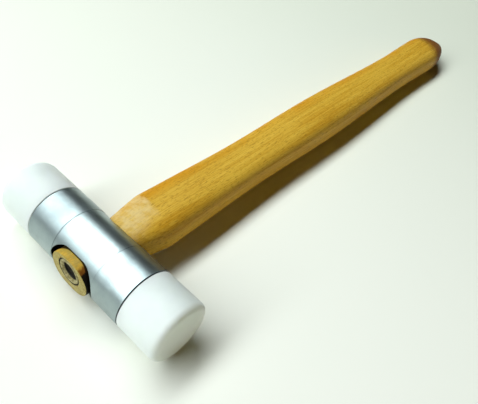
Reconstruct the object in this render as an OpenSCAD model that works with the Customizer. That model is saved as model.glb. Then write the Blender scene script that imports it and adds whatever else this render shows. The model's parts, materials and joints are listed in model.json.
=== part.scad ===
/* [Head] */
// Outside diameter of the barrel and of both nylon faces
head_d = 28; // [26:0.5:36]
// Length of the whole head over both striking faces
head_l = 98.2; // [90:0.1:130]
// Length of the aluminium barrel between its two end faces
barrel_l = 56; // [55:0.5:70]
// Gap that shows as a dark line between the barrel and each face
seam_gap = 0.3; // [0.1:0.05:0.6]
// Chamfer on the turned edges at each seam
seam_chamfer = 0.25; // [0.1:0.05:0.6]
// Radius of the rounded edge round each striking face
face_edge_r = 2.4; // [0.5:0.1:5]

/* [Turned band round the eye] */
// Length of the band along the head
band_l = 24.6; // [20:0.1:26]
// Depth of the band below the rest of the barrel
band_depth = 0.1; // [0.05:0.01:0.4]
// Width of the fine groove at each end of the band
groove_w = 0.3; // [0.2:0.05:0.8]
// Depth of the fine groove at each end of the band
groove_depth = 0.2; // [0.15:0.05:0.6]

/* [Eye] */
// Length of the eye along the head, over its round ends
eye_l = 25.9; // [24:0.1:26]
// Height of the eye across the head
eye_h = 17.7; // [16:0.1:18.5]

/* [Screwed fit of the faces] */
// Outside diameter of the spigot on each face
spigot_d = 18; // [14:0.5:20]
// Length of the spigot
spigot_l = 12; // [8:0.5:12]
// Free depth of the socket past the spigot's end
socket_room = 1; // [0.5:0.1:1.2]
// Radial running clearance between spigot and socket
spigot_fit = 0.05; // [0.02:0.01:0.1]
// Lead-in chamfer at the spigot's end
spigot_chamfer = 1.2; // [0.5:0.1:2]

/* [Tenon] */
// Length of the tenon's section along the head, over its round ends
tenon_l = 21.8; // [18:0.1:23]
// Height of the tenon's section across the head
tenon_h = 17.2; // [15:0.1:17.4]
// How far the tenon's end stands out past the barrel
tenon_proud = 0.4; // [0:0.1:3]

/* [Wedges] */
// Outside diameter of the ring wedge at the tenon's end
ring_d = 11.6; // [10:0.1:12.5]
// Wall of the ring wedge at the tenon's end
ring_wall = 2; // [1.5:0.1:2.5]
// Length of the ring wedge into the wood
ring_l = 9; // [5:0.5:12]
// How far the ring wedge stands out of the wood
ring_proud = 0.15; // [0:0.05:0.5]
// How far the wood inside the ring lies below its rim
core_sunk = 1.6; // [0.5:0.1:3]
// Height of the ring's centre above the head's axis
ring_up = 1.2; // [0:0.1:1.3]
// Angle of the saw kerf to the head's axis
kerf_angle = 42; // [0:1:90]
// Width of the wooden wedge across the tenon
wedge_w = 13.8; // [13:0.1:14.5]
// Thickness of the wooden wedge at the tenon's end
wedge_t = 1.8; // [1:0.1:2.5]
// Thickness of the wooden wedge at its thin end
wedge_tip_t = 0.7; // [0.4:0.1:1]
// Depth of the wooden wedge in the tenon
wedge_l = 17; // [13:0.5:20]

/* [Handle] */
// Distance from the head's axis to the butt's end
handle_reach = 310; // [305:0.5:350]
// Full width of the shoulder where it meets the barrel
root_w = 20.6; // [19:0.1:22]
// Full width at the crease where the shoulder ends
shoulder_w = 26.3; // [24:0.1:30]
// Full width at the waist behind the head
waist_w = 24.3; // [22:0.1:29]
// Full width at the belly of the grip
belly_w = 26.4; // [24:0.1:32]
// Full width at the neck before the butt
neck_w = 23.3; // [20:0.1:28]
// Full width of the flared butt
butt_w = 25.8; // [22:0.1:30]
// Thickness of the handle as a share of its width
handle_flat = 0.71; // [0.68:0.01:0.9]
// Squareness of the grip's section: 2 is an ellipse, more is squarer
grip_power = 3; // [2:0.1:4]
// Squareness of the section at the barrel
root_power = 2.6; // [2:0.1:4]
// Squareness of the section at the crease
crease_power = 3.2; // [2:0.1:4]
// Squareness of the section at the butt
butt_power = 2.6; // [2:0.1:4]

/* [Hidden] */
$fn = 96;

head_r = head_d / 2;
half_l = head_l / 2;
half_barrel = barrel_l / 2;
face_start = half_barrel + seam_gap;
spigot_r = spigot_d / 2;
socket_l = spigot_l + socket_room;
tenon_end = -head_r - tenon_proud;
tenon_drop = (eye_h - tenon_h) / 2;

// Where the eye's upper and lower edges lie on the back of the barrel
root_x = sqrt(head_r * head_r - eye_h * eye_h / 4) + 0.1;
// Where the shoulder's flat facets end in a crease across the handle
crease_x = 29;
dome_x = 284;
neck_x = 242;
// Places along the handle, from the head's axis, with the full width that each one has
width_keys = [
    [crease_x, shoulder_w],
    [88, waist_w],
    [155, belly_w],
    [neck_x, neck_w],
    [dome_x, butt_w]
];
// Places along the handle with the squareness of the section there
power_keys = [
    [root_x, root_power],
    [crease_x, crease_power],
    [crease_x + 12, grip_power],
    [neck_x, grip_power],
    [dome_x, butt_power]
];
dome_power = 1.3;
shoulder_steps = 7;
grip_steps = 32;
dome_steps = 11;
section_sides = 40;
overlap = 0.5;

// The tool lies on its side: the head on its barrel and faces, the butt on the same surface
butt_rest_x = 285;
butt_half = butt_w * handle_flat / 2;
rest_reach = sqrt(butt_rest_x * butt_rest_x + butt_half * butt_half);
lie_angle = asin(head_r / rest_reach) - atan2(butt_half, butt_rest_x);
mid_x = (handle_reach + tenon_end) / 2 * cos(lie_angle);

// Smooth step from 0 to 1
function ease(t) = (1 - cos(180 * t)) / 2;

// Value at x on a smooth line through keys of [place, value]
function through(x, keys, i = 0) =
    x <= keys[i][0] || i == len(keys) - 1
        ? keys[i][1]
        : x <= keys[i + 1][0]
            ? keys[i][1] + (keys[i + 1][1] - keys[i][1]) * ease((x - keys[i][0]) / (keys[i + 1][0] - keys[i][0]))
            : through(x, keys, i + 1);

// Straight taper over the shoulder, from the value at the barrel to the value at the crease
function taper(x, low, high) = low + (high - low) * (x - root_x) / (crease_x - root_x);

// Half width: flat facets over the shoulder, then the waisted grip
function half_width(x) = (x < crease_x ? taper(x, root_w, shoulder_w) : through(x, width_keys)) / 2;

// Half thickness: flat facets over the shoulder, then a share of the width
function half_thickness(x) =
    x < crease_x
        ? taper(x, tenon_h / 2, shoulder_w * handle_flat / 2)
        : half_width(x) * handle_flat;

// Signed power, for the section's rounded corners
function spow(v, p) = sign(v) * pow(abs(v), p);

// One closed ring of the handle's section at x, with half width w and half thickness t
function section(x, w, t) = [
    for (i = [0 : section_sides - 1])
        let (a = 360 * i / section_sides, p = 2 / through(x, power_keys))
            [x, w * spow(cos(a), p), t * spow(sin(a), p)]
];

// The loft's rings: shoulder, grip, then the rounded butt
shoulder_xs = [for (i = [0 : shoulder_steps - 1]) root_x + (crease_x - root_x) * i / shoulder_steps];
grip_xs = [for (i = [0 : grip_steps]) crease_x + (dome_x - crease_x) * i / grip_steps];
dome_l = handle_reach - dome_x;
body_rings = [for (x = concat(shoulder_xs, grip_xs)) section(x, half_width(x), half_thickness(x))];
dome_rings = [
    for (i = [1 : dome_steps - 1])
        let (a = 90 * i / dome_steps, s = pow(cos(a), dome_power))
            section(dome_x + dome_l * sin(a), s * butt_w / 2, s * butt_half)
];
rings = concat(body_rings, dome_rings);

// Round-ended slot section, its length along x and its height along y
module obround(l, h) {
    translate([-(l - h) / 2, 0]) circle(d = h);
    translate([(l - h) / 2, 0]) circle(d = h);
    square([l - h, h], center = true);
}

// Turns a flat outline of [length along the head, height] into a bar along the handle, from x = 0
module bar_along_handle(l) {
    rotate([90, 0, 90]) linear_extrude(height = l) children();
}

// Turns an outline of [radius, distance along the head] about the head's axis
module turned_on_head() {
    rotate([-90, 0, 0]) rotate_extrude() children();
}

// Lays the upright tool down: the head's axis stays level and the butt drops to the surface
module lying() {
    translate([-mid_x, 0, head_r]) rotate([0, lie_angle, 0]) children();
}

// Barrel's outline from the middle to one end face, as [radius, distance along the head]
barrel_edge = [
    [head_r - band_depth, band_l / 2 - groove_w / 2],
    [head_r - groove_depth, band_l / 2],
    [head_r, band_l / 2 + groove_w / 2],
    [head_r, half_barrel - seam_chamfer],
    [head_r - seam_chamfer, half_barrel],
    [0, half_barrel]
];

module barrel() {
    last = len(barrel_edge) - 1;
    other_edge = [for (i = [last : -1 : 0]) [barrel_edge[i][0], -barrel_edge[i][1]]];
    color("silver") lying() difference() {
        turned_on_head() polygon(concat(barrel_edge, other_edge));
        translate([-head_d, 0, 0]) bar_along_handle(2 * head_d) obround(eye_l, eye_h);
        for (side = [-1, 1])
            rotate([side * -90, 0, 0])
                translate([0, 0, half_barrel - socket_l])
                    cylinder(h = socket_l + 1, r = spigot_r + spigot_fit);
    }
}

// Outline of a face: a chamfered spigot, a shoulder, and a flat end with a rounded edge
module face_outline() {
    polygon([
        [0, half_barrel - spigot_l],
        [spigot_r - spigot_chamfer, half_barrel - spigot_l],
        [spigot_r, half_barrel - spigot_l + spigot_chamfer],
        [spigot_r, face_start],
        [head_r - seam_chamfer, face_start],
        [head_r, face_start + seam_chamfer],
        [head_r, half_l - face_edge_r],
        [head_r - face_edge_r, half_l - face_edge_r],
        [head_r - face_edge_r, half_l],
        [0, half_l]
    ]);
    intersection() {
        translate([head_r - face_edge_r, half_l - face_edge_r]) circle(r = face_edge_r);
        translate([head_r - face_edge_r, half_l - face_edge_r]) square(face_edge_r);
    }
}

module left_face() {
    color("whitesmoke") lying() mirror([0, 1, 0]) turned_on_head() face_outline();
}

module right_face() {
    color("whitesmoke") lying() turned_on_head() face_outline();
}

// Shaft of the handle: a loft through its rings, closed flat at the root and to a point at the butt
module shaft() {
    n = section_sides;
    last = len(rings) - 1;
    root = len(rings) * n;
    tip = root + 1;
    points = concat(
        [for (ring = rings) each ring],
        [[root_x, 0, 0], [handle_reach, 0, 0]]
    );
    sides = [
        for (r = [0 : last - 1], i = [0 : n - 1])
            let (a = r * n + i, b = r * n + (i + 1) % n)
                each [[a, b + n, b], [a, a + n, b + n]]
    ];
    root_cap = [for (i = [0 : n - 1]) [root, i, (i + 1) % n]];
    tip_cap = [for (i = [0 : n - 1]) [tip, last * n + (i + 1) % n, last * n + i]];
    polyhedron(points = points, faces = concat(sides, root_cap, tip_cap));
}

// Ring wedge: straight inside, tapered outside to a thin leading edge
module ring_body() {
    edge_t = 0.3;
    translate([tenon_end, 0, ring_up]) rotate([0, 90, 0]) rotate_extrude()
        polygon([
            [ring_d / 2 - ring_wall, -ring_proud],
            [ring_d / 2, -ring_proud],
            [ring_d / 2 - ring_wall + edge_t, ring_l],
            [ring_d / 2 - ring_wall, ring_l]
        ]);
}

// Room over the sunk wood inside the ring
module ring_hollow() {
    translate([tenon_end, 0, ring_up]) rotate([0, 90, 0])
        translate([0, 0, -1]) cylinder(h = 1 + core_sunk, r = ring_d / 2 - ring_wall);
}

// Wooden wedge: full thickness at the tenon's end, thin at its tip
module wedge_body() {
    translate([tenon_end, 0, ring_up]) rotate([90 + kerf_angle, 0, 0])
        linear_extrude(height = wedge_w, center = true)
            polygon([
                [0, -wedge_t / 2],
                [0, wedge_t / 2],
                [wedge_l, wedge_tip_t / 2],
                [wedge_l, -wedge_tip_t / 2]
            ]);
}

module handle() {
    color("burlywood") lying() difference() {
        union() {
            shaft();
            translate([tenon_end, 0, -tenon_drop])
                bar_along_handle(root_x - tenon_end + overlap) obround(tenon_l, tenon_h);
        }
        wedge_body();
        ring_body();
        ring_hollow();
    }
}

module kerf_wedge() {
    color("saddlebrown") lying() difference() {
        wedge_body();
        ring_body();
        ring_hollow();
    }
}

module ring_wedge() {
    color("dimgray") lying() ring_body();
}

barrel();
left_face();
right_face();
handle();
kerf_wedge();
ring_wedge();
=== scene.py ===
"""Looks of the nylon mallet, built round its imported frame.

The tool has its own axes in millimetres: the head's centre is the origin, +X runs along the handle to the
butt, +Y along the head to the right face, and +Z up. Every mesh is built there and laid into the row frame.
"""

import json
import logging
import math
from abc import ABC, abstractmethod
from collections.abc import Callable, Sequence
from dataclasses import dataclass, field
from enum import Enum
from typing import Any

import bpy
import numpy as np
from mathutils import Matrix, Vector


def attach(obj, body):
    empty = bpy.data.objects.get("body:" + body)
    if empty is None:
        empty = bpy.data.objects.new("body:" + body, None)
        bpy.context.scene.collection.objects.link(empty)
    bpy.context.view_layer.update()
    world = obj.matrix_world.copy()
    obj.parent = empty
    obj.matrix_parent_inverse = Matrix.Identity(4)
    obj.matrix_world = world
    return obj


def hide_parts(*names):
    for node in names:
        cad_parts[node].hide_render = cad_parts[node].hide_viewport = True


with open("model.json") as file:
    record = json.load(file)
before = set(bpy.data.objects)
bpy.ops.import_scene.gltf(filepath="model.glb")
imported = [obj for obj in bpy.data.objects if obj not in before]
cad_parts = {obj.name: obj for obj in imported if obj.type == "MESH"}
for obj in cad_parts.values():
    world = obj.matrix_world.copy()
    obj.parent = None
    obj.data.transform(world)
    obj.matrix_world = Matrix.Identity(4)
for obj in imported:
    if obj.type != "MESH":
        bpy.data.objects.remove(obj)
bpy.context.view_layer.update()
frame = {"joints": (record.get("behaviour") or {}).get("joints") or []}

LOG = logging.getLogger("nylon_mallet")
# One of the tool's millimetres in the row frame's metres
MM = 0.001
HEAD_CENTRE = Vector(frame["joints"][0]["pos_m"])
# The tool tips by this about the head's axis, so that its butt rests on the table
LIE_ANGLE = math.radians(0.973537)
LAY = Matrix.Translation(HEAD_CENTRE) @ Matrix.Rotation(LIE_ANGLE, 4, "Y")

Points = np.ndarray
Faces = list[tuple[int, ...]]
Outline = list[tuple[float, float]]
Keys = tuple[tuple[float, float], ...]
Object = bpy.types.Object
Material = bpy.types.Material
Node = bpy.types.Node
Socket = bpy.types.NodeSocket
Value = Node | Socket | float | str | Sequence[float]


# Colours and node trees


def linear(code: str) -> tuple[float, float, float, float]:
    """Turn an sRGB hex colour into the linear colour that a shader socket takes.

    Args:
        code: Six hex digits, with or without a leading hash.

    Returns:
        Linear red, green, blue and an alpha of 1.
    """
    digits = code.lstrip("#")
    parts = [int(digits[i : i + 2], 16) / 255 for i in (0, 2, 4)]
    red, green, blue = (c / 12.92 if c <= 0.04045 else ((c + 0.055) / 1.055) ** 2.4 for c in parts)
    return red, green, blue, 1.0


class Kind(Enum):
    """Kinds of node in the trees: Blender's name for one and the settings that make it this kind."""

    ABSOLUTE = ("ShaderNodeMath", {"operation": "ABSOLUTE"})
    ADD = ("ShaderNodeMath", {"operation": "ADD"})
    DIVIDE = ("ShaderNodeMath", {"operation": "DIVIDE"})
    FRACT = ("ShaderNodeMath", {"operation": "FRACT"})
    LESS_THAN = ("ShaderNodeMath", {"operation": "LESS_THAN"})
    MAXIMUM = ("ShaderNodeMath", {"operation": "MAXIMUM"})
    MINIMUM = ("ShaderNodeMath", {"operation": "MINIMUM"})
    MULTIPLY = ("ShaderNodeMath", {"operation": "MULTIPLY"})
    MULTIPLY_ADD = ("ShaderNodeMath", {"operation": "MULTIPLY_ADD"})
    POWER = ("ShaderNodeMath", {"operation": "POWER"})
    SQRT = ("ShaderNodeMath", {"operation": "SQRT"})
    SUBTRACT = ("ShaderNodeMath", {"operation": "SUBTRACT"})
    MOVE_BACK = ("ShaderNodeVectorMath", {"operation": "SUBTRACT"})
    STRETCH = ("ShaderNodeVectorMath", {"operation": "MULTIPLY"})
    TURN_Y = ("ShaderNodeVectorRotate", {"rotation_type": "Y_AXIS"})
    SPLIT = ("ShaderNodeSeparateXYZ", {})
    JOIN = ("ShaderNodeCombineXYZ", {})
    # Eases a value from one span to another and holds it at both ends
    EASE = ("ShaderNodeMapRange", {"interpolation_type": "SMOOTHSTEP"})
    MIX = ("ShaderNodeMix", {"data_type": "RGBA"})
    NOISE = ("ShaderNodeTexNoise", {})
    BUMP = ("ShaderNodeBump", {})
    COORDINATES = ("ShaderNodeTexCoord", {})
    RAYS = ("ShaderNodeLightPath", {})
    GLOW = ("ShaderNodeEmission", {})
    SKY = ("ShaderNodeBackground", {})
    EITHER = ("ShaderNodeMixShader", {})
    GIVEN = ("NodeGroupInput", {})
    RESULT = ("NodeGroupOutput", {})
    HELIX = ("GeometryNodeCurveSpiral", {})
    LEVEL = ("GeometryNodeSetCurveNormal", {"mode": "Z_UP"})
    ALONG = ("GeometryNodeSplineParameter", {})
    SECTION = ("GeometryNodeCurvePrimitiveQuadrilateral", {"mode": "TRAPEZOID"})
    PLACE = ("GeometryNodeTransform", {})
    SWEEP = ("GeometryNodeCurveToMesh", {})
    DRESS = ("GeometryNodeSetMaterial", {})
    GATHER = ("GeometryNodeJoinGeometry", {})
    REALIZE = ("GeometryNodeRealizeInstances", {})


class Graph:
    """Adds and links the nodes of one shader or geometry tree."""

    def __init__(self, tree: bpy.types.NodeTree) -> None:
        """Keep the tree that nodes are added to."""
        self.tree = tree

    def add(self, kind: Kind, *values: Value, **named: Any) -> Node:
        """Add one node with its settings and links.

        Args:
            kind: Kind of the node.
            *values: What goes into the node's visible inputs, in order.
            **named: More inputs by their names, which start with a capital, and settings by theirs.

        Returns:
            The new node.
        """
        type_name, settings = kind.value
        node = self.tree.nodes.new(type_name)
        inputs = {key: value for key, value in named.items() if key[0].isupper()}
        more = {key: value for key, value in named.items() if key[0].islower()}
        for key, value in {**settings, **more}.items():
            setattr(node, key, value)
        visible = [socket for socket in node.inputs if socket.enabled]
        for target, value in zip(visible, values):
            self.fill(target, value)
        self.plug(node, **inputs)
        return node

    def plug(self, node: Node, **inputs: Value) -> None:
        """Fill a node's inputs by their names, written with underscores for spaces."""
        for key, value in inputs.items():
            self.fill(node.inputs[key.replace("_", " ")], value)

    def fill(self, target: Socket, value: Value) -> None:
        """Link or set one input.

        Args:
            target: The input.
            value: A socket, a node that stands for its first visible output, a hex colour or a plain value.
        """
        if isinstance(value, Node):
            value = next(socket for socket in value.outputs if socket.enabled)
        if isinstance(value, Socket):
            self.tree.links.new(value, target)
        else:
            target.default_value = linear(value) if isinstance(value, str) else value

    def radius(self, across: Value, up: Value) -> Node:
        """Return the distance from an axis, given the two offsets square to it."""
        squares = [self.add(Kind.MULTIPLY, offset, offset) for offset in (across, up)]
        return self.add(Kind.SQRT, self.add(Kind.ADD, *squares))


# Finishes


class Finish(ABC):
    """A surface finish, whose pattern is sized from the tool's own millimetres."""

    name: str = "Finish"

    def build(self) -> Material:
        """Make the material: the tool's millimetres go in and the finish's own nodes follow.

        Returns:
            The finished material.
        """
        material = bpy.data.materials.new(self.name)
        material.use_nodes = True
        graph = Graph(material.node_tree)
        shader = material.node_tree.nodes["Principled BSDF"]
        self.dress(graph, shader, self.tool_place(graph))
        return material

    def tool_place(self, graph: Graph) -> Node:
        """Find the shaded point in the tool's own millimetres.

        Args:
            graph: Tree of the material.

        Returns:
            A vector node.
        """
        where = graph.add(Kind.COORDINATES).outputs["Object"]
        moved = graph.add(Kind.MOVE_BACK, where, tuple(HEAD_CENTRE))
        turned = graph.add(Kind.TURN_Y, Vector=moved, Angle=-LIE_ANGLE)
        return graph.add(Kind.STRETCH, turned, (1 / MM, 1 / MM, 1 / MM))

    @abstractmethod
    def dress(self, graph: Graph, shader: Node, place: Node) -> None:
        """Link the finish's pattern to the shader.

        Args:
            graph: Tree of the material.
            shader: Its principled shader.
            place: The shaded point in the tool's millimetres.
        """


@dataclass(frozen=True)
class TurnedAluminium(Finish):
    """Satin turned aluminium: fine round tool marks that draw the lamp into a soft band along the barrel.

    Painted shade darkens the eye's wall, the seams and the fine grooves; on the grooves it is left off round
    the top, where the lamp's highlight falls, and faded on the left one towards the tenon's end.
    """

    name: str = "Satin turned aluminium"
    base: str = "#A0AEB0"
    worn: str = "#94A1A4"
    # Colour of the painted shade in the eye, at the seams and in the grooves
    shade_colour: str = "#0E0C09"
    roughness: float = 0.34
    # Spacing of the tool marks. Real ones are too fine to show, so they are drawn coarser
    mark_mm: float = 0.26
    # Cells per millimetre: smudges 11 mm wide and specks of half a millimetre
    smudge: float = 0.09
    speck: float = 1.9
    # Depth of the specks and of the tool marks, in metres
    speck_deep: float = 0.00002
    mark_deep: float = 0.00006
    # Half the eye's length over its flare, the radius at which the painted shade on its wall has gone, and
    # how fast it darkens
    eye_half: float = 13.6
    eye_r: float = 13.7
    eye_fade: float = 0.6
    # The seams: place, width of the painted shade, and how dark it is on the left and on the right
    seam_y: float = 27.98
    seam_w: float = 0.2
    seam_left: float = 0.9
    seam_right: float = 0.3
    # The grooves: place, half the painted shade's core, half its whole width, and how dark the core is
    groove_y: float = 12.3
    groove_core: float = 0.08
    groove_half: float = 0.2
    groove_dark: float = 0.75
    # Along the handle, where the painted shade is left off a groove: round its top, where the lamp's
    # highlight falls, and on to the tenon on the left one
    highlight_x: float = -3.0
    highlight_near: float = 3.0
    highlight_far: float = 8.0
    highlight_kept: float = 0.15
    left_fade_from: float = -4.0
    left_fade_to: float = -8.0
    left_faded: float = 0.85
    # Share of the painted shade in the right groove
    right_kept: float = 0.5

    def eye_wall_shade(self, graph: Graph, x: Socket, y: Socket, z: Socket) -> Node:
        """Paint shade on the wall of the eye.

        Args:
            graph: Tree of the material.
            x: Distance along the handle.
            y: Distance along the head.
            z: Height over the head's axis.

        Returns:
            How much painted shade the metal takes, from 0 to 1.
        """
        inside = graph.add(Kind.EASE, graph.radius(x, z), self.eye_r - self.eye_fade, self.eye_r, 1.0, 0.0)
        middle = graph.add(Kind.LESS_THAN, graph.add(Kind.ABSOLUTE, y), self.eye_half)
        return graph.add(Kind.MULTIPLY, inside, middle)

    def seam_shade(self, graph: Graph, y: Socket) -> Node:
        """Paint shade on the edge at each seam, the left one more than the right.

        Args:
            graph: Tree of the material.
            y: Distance along the head.

        Returns:
            How much painted shade the metal takes, from 0 to 1.
        """
        edge = graph.add(Kind.EASE, graph.add(Kind.ABSOLUTE, y), self.seam_y - self.seam_w, self.seam_y)
        side = graph.add(Kind.EASE, y, -1.0, 1.0, self.seam_left, self.seam_right)
        return graph.add(Kind.MULTIPLY, edge, side)

    def groove_shade(self, graph: Graph, x: Socket, y: Socket) -> Node:
        """Paint shade in the fine grooves beside the band, except round the top, where the highlight falls,
        and on the left one's tenon side.

        Args:
            graph: Tree of the material.
            x: Distance along the handle.
            y: Distance along the head.

        Returns:
            How much painted shade the metal takes, from 0 to 1.
        """
        off = graph.add(Kind.SUBTRACT, graph.add(Kind.ABSOLUTE, y), self.groove_y)
        off = graph.add(Kind.ABSOLUTE, off)
        line = graph.add(Kind.EASE, off, self.groove_core, self.groove_half, self.groove_dark, 0.0)
        from_highlight = graph.add(Kind.ABSOLUTE, graph.add(Kind.SUBTRACT, x, self.highlight_x))
        kept = graph.add(Kind.EASE, from_highlight, self.highlight_near, self.highlight_far, self.highlight_kept, 1.0)
        left = graph.add(Kind.LESS_THAN, y, 0.0)
        past_top = graph.add(Kind.EASE, x, self.left_fade_from, self.left_fade_to, 0.0, self.left_faded)
        left_faded = graph.add(Kind.MULTIPLY, left, past_top)
        kept = graph.add(Kind.MULTIPLY, kept, graph.add(Kind.SUBTRACT, 1.0, left_faded))
        side = graph.add(Kind.EASE, y, -1.0, 1.0, 1.0, self.right_kept)
        kept = graph.add(Kind.MULTIPLY, kept, side)
        return graph.add(Kind.MULTIPLY, line, kept)

    def dress(self, graph: Graph, shader: Node, place: Node) -> None:
        """Lay tool marks across the axis, faint handling marks over them and painted shade in the eye, at the
        seams and in the grooves.

        Args:
            graph: Tree of the material.
            shader: Its principled shader.
            place: The shaded point in the tool's millimetres.
        """
        x, y, z = graph.add(Kind.SPLIT, place).outputs
        smudge = graph.add(Kind.NOISE, place, self.smudge, 4, 0.6)
        colour = graph.add(Kind.MIX, graph.add(Kind.EASE, smudge, 0.35, 0.7), self.base, self.worn)
        # Painted shade on the eye's wall, at the seams and in the grooves
        painted_shade = (self.eye_wall_shade(graph, x, y, z), self.seam_shade(graph, y), self.groove_shade(graph, x, y))
        for share in painted_shade:
            colour = graph.add(Kind.MIX, share, colour, self.shade_colour)
        rough = graph.add(Kind.EASE, smudge, 0.3, 0.75, self.roughness - 0.04, self.roughness + 0.07)
        marks = graph.add(Kind.NOISE, graph.add(Kind.JOIN, 0.0, y, 0.0), 1 / self.mark_mm, 4, 0.7)
        specks = graph.add(Kind.NOISE, place, self.speck, 2, 0.5)
        fine = graph.add(Kind.BUMP, Height=specks, Distance=self.speck_deep, Strength=0.25)
        normal = graph.add(Kind.BUMP, Height=marks, Distance=self.mark_deep, Strength=0.8, Normal=fine)
        graph.plug(shader, Base_Color=colour, Metallic=1.0, Roughness=rough, Normal=normal)


@dataclass(frozen=True)
class MouldedNylon(Finish):
    """White nylon: light enters a few millimetres, so that edges glow and the white stays soft and cool.

    Painted shade darkens the edge at each seam.
    """

    name: str = "Moulded white nylon"
    base: str = "#E9F0EE"
    cloud: str = "#E2EAE7"
    # Colour of the painted shade at the seams
    painted_shade: str = "#23241F"
    roughness: float = 0.5
    # Cells per millimetre: clouds 14 mm wide and scuffs under a millimetre
    clouds: float = 0.07
    scuffs: float = 1.4
    # Depth of the scuffs, and how far light enters, in metres
    scuff_deep: float = 0.00004
    light_deep: float = 0.006
    # The seams: place, width of the painted shade, and how dark it is on the left and on the right
    seam_y: float = 28.35
    seam_w: float = 0.3
    seam_left: float = 0.85
    seam_right: float = 0.2

    def dress(self, graph: Graph, shader: Node, place: Node) -> None:
        """Cloud the white faintly, paint shade along the seam and scuff the surface finely.

        Args:
            graph: Tree of the material.
            shader: Its principled shader.
            place: The shaded point in the tool's millimetres.
        """
        y = graph.add(Kind.SPLIT, place).outputs[1]
        cloud = graph.add(Kind.EASE, graph.add(Kind.NOISE, place, self.clouds, 3, 0.5), 0.35, 0.7)
        colour = graph.add(Kind.MIX, cloud, self.base, self.cloud)
        # Painted shade along the seam, darker on the left
        side = graph.add(Kind.EASE, y, -1.0, 1.0, self.seam_left, self.seam_right)
        off = graph.add(Kind.ABSOLUTE, y)
        seam = graph.add(Kind.EASE, off, self.seam_y, self.seam_y + self.seam_w, 1.0, 0.0)
        colour = graph.add(Kind.MIX, graph.add(Kind.MULTIPLY, seam, side), colour, self.painted_shade)
        scuff = graph.add(Kind.NOISE, place, self.scuffs, 5, 0.7)
        rough = graph.add(Kind.EASE, scuff, 0.3, 0.75, self.roughness - 0.05, self.roughness + 0.08)
        normal = graph.add(Kind.BUMP, Height=scuff, Distance=self.scuff_deep, Strength=0.3)
        graph.plug(shader, Base_Color=colour, Roughness=rough, Normal=normal, Specular_IOR_Level=0.3)
        graph.plug(shader, Subsurface_Weight=0.6, Subsurface_Radius=(1.0, 1.0, 0.9))
        graph.plug(shader, Subsurface_Scale=self.light_deep)


class Grain(Enum):
    """Which way a wooden surface cuts the fibres."""

    LONG = "long"
    END = "end"


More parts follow.
